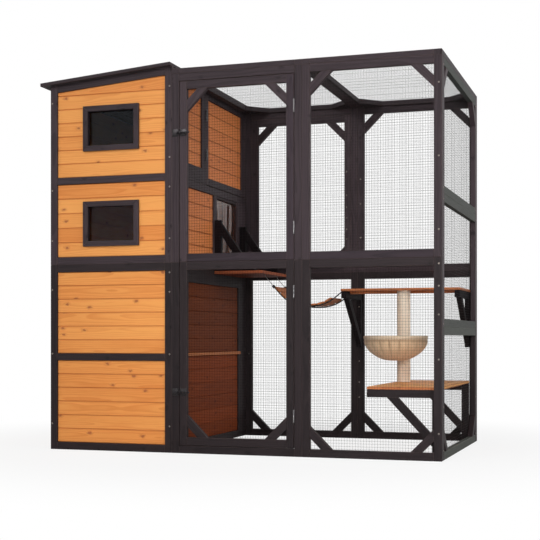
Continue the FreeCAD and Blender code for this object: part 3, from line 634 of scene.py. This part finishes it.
def seam_or_hinge_stile(low, high):
    return seam_rail(low, high) or low[0] > hinge_stile_x


def below_seam(low, high):
    return high[2] < seam_height + edge_ease


def batten(low, high):
    return high[2] - low[2] < batten_height


def side_rail(low, high):
    return high[1] - low[1] > side_rail_length


def inner_storey(low, high):
    """Planks of the inner wall: 0 above the seam, 1 below it, which take painted shade, and 2 below the
    ledge, which take a lighter painted shade.
    """
    return (high[2] < seam_height) + (high[2] < ledge_height)


# Frames
for node in ("house_front_upper_frame", "house_back_frames", "house_left_frames", "house_inner_upper_frame",
             "house_door_frame"):
    timbers(node, dark_stain, worn_stain)
timbers("front_upper_frame", dark_stain, worn_stain, seam_stain, seam_worn, pair=seam_rail)
for node in ("back_upper_frames", "run_roof_frames", "window_frames", "roof_trim", "curtain_rail"):
    timbers(node, dark_stain, worn_stain)
for node in ("house_front_lower_frame", "house_inner_lower_frame", "front_lower_frame", "back_lower_frames"):
    timbers(node, deep_stain, deep_worn)
timbers("entrance_brackets", bracket_stain, bracket_stain)
timbers("perch_brackets", bracket_stain, bracket_stain, perch_wood, perch_wood, pair=batten)
timbers("low_brackets", deep_stain, deep_worn, perch_wood, perch_wood, pair=batten)
timbers("door_surround", dark_stain, worn_stain, deep_stain, deep_worn, pair=below_seam,
        solids=cut_at_seam("door_surround"))
timbers("upper_door_frame", dark_stain, worn_stain, seam_stain, seam_worn, pair=seam_or_hinge_stile,
        reach=door_reach)
timbers("lower_door_frame", deep_stain, deep_worn, reach=door_reach)
timbers("side_bottom_frame", deep_stain, deep_worn, low_grey, grey_worn, pair=side_rail)
for node in ("side_middle_frame", "side_top_frame"):
    timbers(node, dark_stain, worn_stain, grey_stain, grey_worn, pair=side_rail)

# Planks, boards and roof
for node in ("house_front_planks", "house_back_planks", "house_left_planks", "house_floors"):
    timbers(node, honey, honey_worn, ease=plank_ease)
timbers("house_door_planks", amber, amber_worn, ease=plank_ease)
timbers("house_ledge", ledge_wood, ledge_wood, ease=plank_ease)
# Below the seam the inner wall's planks carry painted shade, a little lighter below the ledge.
timbers("house_inner_planks", amber, amber_worn, painted_shade_planks, painted_shade_edge, foot_planks_painted_shade, foot_edge_painted_shade,
        pair=inner_storey, ease=plank_ease)
timbers("bridge_slats", perch_wood, perch_wood, ease=slat_ease)
timbers("perch_shelf", perch_wood, perch_wood, ease=shelf_ease)
landing = timbers("entrance_shelf", landing_wood, landing_wood, underside_painted_shade, ease=shelf_ease)
# The entrance shelf's downward faces take the painted shade.
refinish(landing, 2, (0.0, 0.0, -1.0))
low_shelf = timbers("low_shelf", shelf_wood, perch_wood, ease=board_ease,
                    solids=boards_of("low_shelf", low_shelf_boards))
refinish(low_shelf, 1, (0.0, -1.0, 0.0))
timbers("roof_deck", felt, felt)


# Welded wire mesh. A net in the CAD is a run of upright wires, then a run of cross wires.
def nets_of(node):
    """The box of each net of a CAD node."""
    nets, last = [], None
    for triangles in solids_of(node):
        low, high = extent(triangles)
        way = max(range(3), key=lambda k: high[k] - low[k])
        if last is None or (way == nets[-1][2] and way != last):
            nets.append([low, high, way])
        nets[-1][0] = tuple(map(min, nets[-1][0], low))
        nets[-1][1] = tuple(map(max, nets[-1][1], high))
        last = way
    return [(net[0], net[1]) for net in nets]


def wire_net(node, across=wire_across):
    """A CAD node's nets again at the mesh's real pitch, with every wire a little bent."""
    points, faces = [], []
    half = across / 2
    section = ((-half, 0.0), (0.0, -half), (half, 0.0), (0.0, half))
    stops = (0.0, 0.5, 1.0)
    crossing = 0.85 * half       # welded wires bite into each other

    def lay_wire(start, end, side, through):
        bow = chance.uniform(-wire_bow, wire_bow)
        faces.extend(tube_faces(len(points), len(stops), len(section)))
        for stop in stops:
            middle = [a + (b - a) * stop for a, b in zip(start, end)]
            middle[side] += bow if stop == 0.5 else 0.0
            for off_side, off_through in section:
                point = list(middle)
                point[side] += off_side
                point[through] += off_through
                points.append(point)

    for low, high in nets_of(node):
        through = min(range(3), key=lambda k: high[k] - low[k])
        middle = (low[through] + high[through]) / 2
        ways = [k for k in range(3) if k != through]
        for way, side, sign in ((ways[0], ways[1], 1.0), (ways[1], ways[0], -1.0)):
            count = round((high[side] - low[side]) / mesh_pitch)
            for i in range(count + 1):
                start, end = [0.0] * 3, [0.0] * 3
                start[way], end[way] = low[way], high[way]
                start[side] = end[side] = low[side] + half + (high[side] - low[side] - across) * i / count
                start[through] = end[through] = middle + sign * crossing
                lay_wire(start, end, side, through)
    data = smooth_mesh(node + "_wires", points, faces)
    stand_for(add_piece(node + "_wires", data, wire), node)


for node in ("front_lower_mesh", "front_upper_mesh", "upper_door_mesh", "lower_door_mesh", "back_meshes"):
    wire_net(node)
for node in ("side_meshes", "run_roof_meshes"):
    wire_net(node, fine_wire_across)


# Bridge ropes: strands laid round the route, which is a curve drawn by the rope's control points.
def rope_line(y):
    data = bpy.data.curves.new("rope_route", "CURVE")
    data.dimensions = "3D"
    data.resolution_u = 24
    spline = data.splines.new("NURBS")
    spline.points.add(len(rope_route) - 1)
    for point, (x, z) in zip(spline.points, rope_route):
        point.co = (x, y, z, 1.0)
    spline.order_u = 3
    spline.use_endpoint_u = True
    bare = bpy.data.objects.new("rope_route", data)
    drawn = bpy.data.meshes.new_from_object(bare)
    line = [vertex.co.copy() for vertex in drawn.vertices]
    bpy.data.meshes.remove(drawn)
    bpy.data.objects.remove(bare)
    bpy.data.curves.remove(data)
    return line


def rope(node, y):
    line = rope_line(y)
    side, lay_radius = Vector((0.0, 1.0, 0.0)), rope_across / 2 - strand_radius
    points, faces, grains = [], [], []
    for strand in range(strands):
        faces += tube_faces(len(points), len(line), strand_sides)
        gone = 0.0
        for i, middle in enumerate(line):
            before, after = line[max(i - 1, 0)], line[min(i + 1, len(line) - 1)]
            up = side.cross((after - before).normalized())
            gone += (middle - before).length
            turn = 2 * math.pi * (strand / strands + gone / rope_lay)
            centre = middle + (side * math.cos(turn) + up * math.sin(turn)) * lay_radius
            for j in range(strand_sides):
                around = 2 * math.pi * j / strand_sides
                points.append(centre + (side * math.cos(around) + up * math.sin(around)) * strand_radius)
                grains.append((gone, strand_radius * around, strand * strand_apart))
    data = smooth_mesh(node + "_strands", points, faces, grains)
    piece = stand_for(add_piece(node + "_strands", data, rope_fibre), node)
    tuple(line[0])


rope("bridge_near_rope", near_rope_y)
rope("bridge_far_rope", far_rope_y)


# Metal and small parts: the CAD solids with broken edges.
def metal(node, *finishes):
    """Finishes are given solid by solid, the last one for all the rest."""
    joined = bmesh.new()
    for number, triangles in enumerate(solids_of(node)):
        part = whole_solid(triangles)
        ease_edges(part, metal_ease, metal_corner)
        for face in part.faces:
            face.material_index, face.smooth = min(number, len(finishes) - 1), True
        add_solid(joined, part)
    data = mesh_from(node + "_metal", joined)
    data.set_sharp_from_angle(angle=metal_sharp)
    stand_for(add_piece(node + "_metal", data, *finishes), node)


for node in ("hinge_fixed_leaves", "house_door_hinges", "bed_hoop"):
    metal(node, steel)
for node in ("upper_door_hardware", "lower_door_hardware"):
    metal(node, steel, steel, dull_steel)
for node in ("bolt_keepers", "upper_bolt", "lower_bolt"):
    metal(node, dull_steel)
metal("bridge_hooks", sleeve_plastic, bright_steel, sleeve_plastic, bright_steel)

# Window panes keep their CAD shape.
panes = frame["nodes"]["window_panes"]
panes.data.materials.clear()
panes.data.materials.append(pane)
polished = panes.modifiers.new("polished_edges", "BEVEL")
polished.width, polished.segments = pane_ease, 2


# Thin dark strips over the edges of the planks inside the two window holes.
def window_edges(name):
    thick, into_frame, off_pane, even_tone = 0.0009, 0.0040, 0.0002, 0.5
    planks_low, planks_high = sides_of("house_front_planks")
    near, far = planks_low[1] - into_frame, planks_high[1] - off_pane
    strips = [extent(triangles) for triangles in solids_of("window_frames")]
    joined = bmesh.new()
    grain = joined.verts.layers.float_vector.new("grain")
    tone = joined.verts.layers.float.new("tone")
    for foot_strip, right_strip, top_strip, left_strip in zip(*[strips[k::4] for k in range(4)]):
        x0, x1 = left_strip[1][0], right_strip[0][0]
        z0, z1 = foot_strip[1][2], top_strip[0][2]
        edges = ((x0, x0 + thick, z0, z1), (x1 - thick, x1, z0, z1), (x0, x1, z0, z0 + thick),
                 (x0, x1, z1 - thick, z1))
        for left, right_end, foot, top in edges:
            for face in box_solid((left, near, foot), (right_end, far, top)):
                corners = [joined.verts.new(corner) for corner in face]
                for corner in corners:
                    corner[grain], corner[tone] = (corner.co.z, corner.co.x, corner.co.y), even_tone
                joined.faces.new(corners)
    bmesh.ops.remove_doubles(joined, verts=joined.verts, dist=0.00001)
    piece = add_piece(name, mesh_from(name, joined), deep_stain)
    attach(piece, "enclosure")


window_edges("window_liners")


# Clear plastic strips of the doorway, a little wavy from having been rolled up.
def curtain_strip(node, phase):
    low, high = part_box(node)
    middle, half_thick = (low.x + high.x) / 2, 0.0008
    wave_depth, curl_depth, lean = 0.0036, 0.0040, 0.0012
    columns, rows = 28, 36
    points = []
    for face in (-1.0, 1.0):
        for j in range(rows + 1):
            for i in range(columns + 1):
                u, v = i / columns, j / rows
                loose = min(1.0, 9.0 * v) * (0.25 + 0.75 * v)      # the rail holds the top straight
                wave = wave_depth * math.sin(2 * math.pi * (1.1 * u + phase) + 0.9 * v) * loose
                curl = curl_depth * (2 * u - 1) ** 4 * v
                points.append((middle + wave + curl - lean * v + face * half_thick,
                               low.y + (high.y - low.y) * u, high.z - (high.z - low.z) * v))
    sheet = grid_faces(columns, rows)
    size = (columns + 1) * (rows + 1)
    down = [j * (columns + 1) for j in range(rows + 1)]
    along = [rows * (columns + 1) + i for i in range(1, columns + 1)]
    up = [j * (columns + 1) + columns for j in range(rows - 1, -1, -1)]
    rim = down + along + up + list(range(columns - 1, -1, -1))
    faces = sheet + [(a + size, d + size, c + size, b + size) for a, b, c, d in sheet]
    faces += [(a, b, b + size, a + size) for a, b in zip(rim, rim[1:])]
    data = smooth_mesh(node + "_sheet", points, faces)
    stand_for(add_piece(node + "_plastic", data, strip_plastic), node)


for number, phase in ((1, 0.1), (2, 0.55), (3, 0.8)):
    curtain_strip(f"curtain_strip_{number}", phase)


# Scratching post: sisal rope wound round a core.
def wound_post(node):
    low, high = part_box(node)
    centre, radius = (low + high) / 2, (high.x - low.x) / 2
    columns, rows_per_turn = 40, 7
    rows = round((high.z - low.z) / post_pitch * rows_per_turn)
    points, grains = [], []
    for j in range(rows + 1):
        z = low.z + (high.z - low.z) * j / rows
        for i in range(columns + 1):
            turn = i / columns
            over = ((z - low.z) / post_pitch - turn) % 1.0
            level = radius - post_groove + post_groove * math.sqrt(max(0.0, 1.0 - (2 * over - 1) ** 2))
            angle = 2 * math.pi * turn + math.pi / 2
            points.append((centre.x + level * math.cos(angle), centre.y + level * math.sin(angle), z))
            grains.append((turn * 2 * math.pi * radius, z, 0.0))
    top_row = rows * (columns + 1)
    ends = [tuple(range(columns - 1, -1, -1)), tuple(range(top_row, top_row + columns))]
    data = smooth_mesh(node + "_winding", points, grid_faces(columns, rows) + ends, grains, closed=False)
    stand_for(add_piece(node + "_winding", data, sisal), node)


wound_post("sisal_post")


# Bowl bed: cloth gores that puff out between their seams, under a plain rim band with the hoop in its hem.
gores, gore_columns, gore_puff = 20, 8, 0.0050
band_height, floor_radius, hem_across, cloth_thick = 0.020, 0.020, 0.0112, 0.0042
band_parts, bowl_parts = 5, 16
crease_height = 0.018        # of the shaded crease under the band


def bowl(node):
    low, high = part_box(node)
    centre, radius = (low + high) / 2, (high.y - low.y) / 2
    rim, base, inside = high.z, low.z, low.z + cloth_thick
    shoulder = rim - band_height
    columns = gores * gore_columns

    def wall(z, inset, floor):
        """The radius of the bowl's half-ellipse at a height, inset at the rim and ending on a flat floor."""
        share = min(1.0, (rim - z) / (rim - floor))
        return floor_radius + (radius - inset - floor_radius) * math.sqrt(1.0 - share * share)

    # The profile goes down outside from the rim to the floor, and up again inside. The rim is rounded, and
    # the band ends in a small step at the shoulder.
    band = [rim - band_height * k / band_parts for k in range(1, band_parts)]
    first_dip = math.asin(band_height / (rim - base))
    dips = [first_dip + (math.pi / 2 - first_dip) * k / bowl_parts for k in range(1, bowl_parts + 1)]
    outer = [(radius - 0.0030, rim), (radius - 0.0005, rim - 0.0022)]
    outer += [(wall(z, 0.0, base) + 0.0012, z) for z in band]
    outer.append((wall(shoulder, 0.0, base) + 0.0010, shoulder + 0.0006))
    band_end = len(outer)
    outer.append((wall(shoulder, 0.0, base) - 0.0004, shoulder))
    outside_heights = [rim - (rim - base) * math.sin(dip) for dip in dips]
    outer += [(wall(z, 0.0, base), z) for z in outside_heights]
    outer += [(floor_radius * share, base) for share in (0.6, 0.25)]
    inner = [(floor_radius * share, inside) for share in (0.25, 0.6)]
    inside_heights = [rim - (rim - inside) * math.sin(dip) for dip in reversed(dips)]
    inner += [(wall(z, hem_across, inside), z) for z in inside_heights]
    hem = [(wall(z, hem_across, inside), z) for z in reversed(band)]
    hem += [(radius - hem_across + 0.0012, rim - 0.0015), (radius - hem_across + 0.0040, rim)]
    rings = outer + inner + hem
    hem_start = len(rings) - len(hem)

    points, grains, crease_shade_shares = [], [], []
    run = 0.0
    for j, (r, z) in enumerate(rings):
        if j:
            run += math.hypot(r - rings[j - 1][0], z - rings[j - 1][1])
        depth = max(0.0, min(1.0, (shoulder - z) / (shoulder - base)))
        fullness = 1.0 if j < len(outer) else 0.4
        puff = gore_puff * math.sin(math.pi * min(1.0, depth * 1.15 + 0.12)) * fullness
        puffed = band_end < j < hem_start - 1 and r > floor_radius * 0.8
        # Painted shade: the cloth darkens in the crease under the band and along the seams between the puffed
        # gores.
        shade_under_band = max(0.0, 1.0 - (shoulder - z) / crease_height) if band_end <= j < len(outer) else 0.0
        for i in range(columns):
            turn = 2 * math.pi * i / columns
            gore = abs(math.sin(gores * turn / 2)) ** 0.45
            wrinkle = 0.0005 * math.sin(37 * turn + 40 * z) + 0.0004 * math.sin(61 * turn - 90 * z)
            level = r + (puff * gore + wrinkle if puffed else 0.0)
            seam = (1.0 - gore) * (1.0 - depth) * (0.7 + 0.3 * math.sin(3 * turn)) if puffed else 0.0
            points.append((centre.x + level * math.cos(turn), centre.y + level * math.sin(turn), z))
            grains.append((r * turn, run, 0.0))
            crease_shade_shares.append(max(0.75 * shade_under_band, seam))

    faces, slots = [], []
    floor_ring = len(outer) - 1
    for j in range(len(rings)):
        if j != floor_ring:
            faces += ring_faces(j * columns, (j + 1) % len(rings) * columns, columns)
            slots += [1 if j < band_end or j >= hem_start else 0] * columns
    for ring in (floor_ring, floor_ring + 1):
        faces.append([ring * columns + i for i in range(columns)])
        slots.append(0)
    data = smooth_mesh(node + "_cloth", points, faces, grains)
    data.polygons.foreach_set("material_index", slots)
    # The bowl's tone attribute carries that painted shade.
    data.attributes.new("tone", "FLOAT", "POINT").data.foreach_set("value", crease_shade_shares)
    piece = stand_for(add_piece(node + "_cloth", data, cloth, rim_cloth), node)


bowl("bowl_bed")


# Screw heads: a low dome with a sunk cross, whose walls and floor carry painted shade.
cross_reach, cross_half = 0.0019, 0.00045
cross_top, cross_floor = 0.0017, 0.0008
dome = ((0.0040, 0.0), (0.0038, 0.0007), (0.0030, 0.0013))   # radius and height of its rings
out_front, out_right = (0.0, -1.0, 0.0), (1.0, 0.0, 0.0)


def screws(name, places):
    arm = [(cross_reach, -cross_half), (cross_reach, cross_half), (cross_half, cross_half)]
    quarters = ((1, 0), (0, 1), (-1, 0), (0, -1))
    cross = [(c * x - s * y, s * x + c * y) for c, s in quarters for x, y in arm]
    loops = [([(x / math.hypot(x, y) * radius, y / math.hypot(x, y) * radius) for x, y in cross], height)
             for radius, height in dome]
    loops += [(cross, cross_top), (cross, cross_floor)]
    joined = bmesh.new()
    for point, outward in places:
        out = Vector(outward)
        side = out.orthogonal().normalized()
        up = out.cross(side)
        turn = chance.uniform(0.0, math.pi / 2)
        side, up = side * math.cos(turn) + up * math.sin(turn), up * math.cos(turn) - side * math.sin(turn)
        rings = [[joined.verts.new(Vector(point) + out * height + side * x + up * y) for x, y in loop]
                 for loop, height in loops]
        for level, (low, high) in enumerate(zip(rings, rings[1:])):
            for k in range(len(cross)):
                after = (k + 1) % len(cross)
                face = joined.faces.new((low[k], low[after], high[after], high[k]))
                face.smooth, face.material_index = level < len(dome), int(level == len(dome))
        joined.faces.new(rings[-1]).material_index = 1
        joined.faces.new(rings[0][::-1])
    piece = add_piece(name, mesh_from(name, joined), screw_steel, recess_shade)
    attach(piece, "enclosure")


def front_places(y, columns):
    """Screws that face the front, in columns of heights."""
    return [((x, y, z), out_front) for x, heights in columns for z in heights]


screws("front_screws", front_places(front, (
    (-0.922, (1.673, 1.251, 1.008, 0.771, 0.462, 0.124)),
    (-0.308, (1.720, 1.387, 1.248, 1.006, 0.846, 0.755, 0.462, 0.124)),
    (0.960, (1.654, 1.334, 1.012, 0.863, 0.766, 0.641, 0.444, 0.120)),
)))
screws("side_screws", [((right, y, z), out_right) for y in (-0.4975, 0.4975)
                       for z in (0.043, 0.235, 0.60, 1.15, 1.20, 1.74)])
perch_bracket_y = 0.477
screws("back_screws", front_places(inner_back, (
    (0.349, (0.414, 0.302, 0.221)),
    (-0.277, (1.117, 0.45)),
    (0.356, (1.391, 1.257, 1.076)),
    (0.279, (1.434, 1.307, 1.242, 1.185, 1.124, 1.071)),
)) + front_places(perch_bracket_y, ((0.357, (0.704, 0.519)),)))


# Stage: pale floor, white background and soft light.
white = (1.0, 1.0, 1.0, 1.0)


def pale_floor(half=30.0):
    """A floor that is white to the camera, apart from the object's shadow near the middle."""
    data = bpy.data.meshes.new("floor")
    corners = [(-half, -half, 0.0), (half, -half, 0.0), (half, half, 0.0), (-half, half, 0.0)]
    data.from_pydata(corners, [], [(0, 1, 2, 3)])
    paint = bpy.data.materials.new("pale_floor")
    paint.use_nodes = True
    tree = paint.node_tree
    tree.nodes.clear()
    ground = place(tree, "ShaderNodeBsdfDiffuse", {"Color": (0.80, 0.80, 0.80, 1.0)}).outputs[0]
    glow = place(tree, "ShaderNodeEmission", {"Color": white, "Strength": 1.0}).outputs[0]
    away = length(tree, place(tree, "ShaderNodeTexCoord").outputs["Object"])
    to_camera = place(tree, "ShaderNodeLightPath").outputs["Is Camera Ray"]
    share = calc(tree, "MULTIPLY", to_camera, ramp(tree, away, 1.1, 2.4, 0.84, 1.0))
    blended = place(tree, "ShaderNodeMixShader", {0: share, 1: ground, 2: glow}).outputs[0]
    place(tree, "ShaderNodeOutputMaterial", {"Surface": blended})
    add_piece("floor", data, paint)


def studio(ambient=0.46):
    """A white world that lights the object with less than it shows."""
    world = bpy.data.worlds.new("studio")
    scene.world = world
    world.use_nodes = True
    tree = world.node_tree
    tree.nodes.clear()
    ray = place(tree, "ShaderNodeLightPath").outputs
    shown = calc(tree, "MAXIMUM", calc(tree, "MAXIMUM", ray["Is Camera Ray"], ray["Is Glossy Ray"]),
                 ray["Is Transmission Ray"])
    light = place(tree, "ShaderNodeBackground", {"Color": white, "Strength": ambient}).outputs[0]
    backdrop = place(tree, "ShaderNodeBackground", {"Color": white, "Strength": 1.0}).outputs[0]
    blended = place(tree, "ShaderNodeMixShader", {0: shown, 1: light, 2: backdrop}).outputs[0]
    place(tree, "ShaderNodeOutputWorld", {"Surface": blended})


def softbox(name, at, aim, size, power, spread=180.0):
    lamp = bpy.data.lights.new(name, "AREA")
    lamp.shape, lamp.size, lamp.energy, lamp.spread = "DISK", size, power, math.radians(spread)
    holder = bpy.data.objects.new(name, lamp)
    holder.location = at
    holder.rotation_euler = (Vector(aim) - Vector(at)).to_track_quat("-Z", "Y").to_euler()
    scene.collection.objects.link(holder)


pale_floor()
studio()
softbox("key_light", (-2.4, -7.0, 5.0), (0.0, -0.2, 1.0), 3.6, 185.0)
softbox("side_light", (4.8, -2.4, 2.8), (0.2, 0.0, 0.9), 2.4, 62.0)
softbox("run_light", (2.4, -5.0, 1.3), (0.55, 0.3, 0.7), 1.6, 8.0, 40.0)

scene.view_settings.view_transform = "Standard"
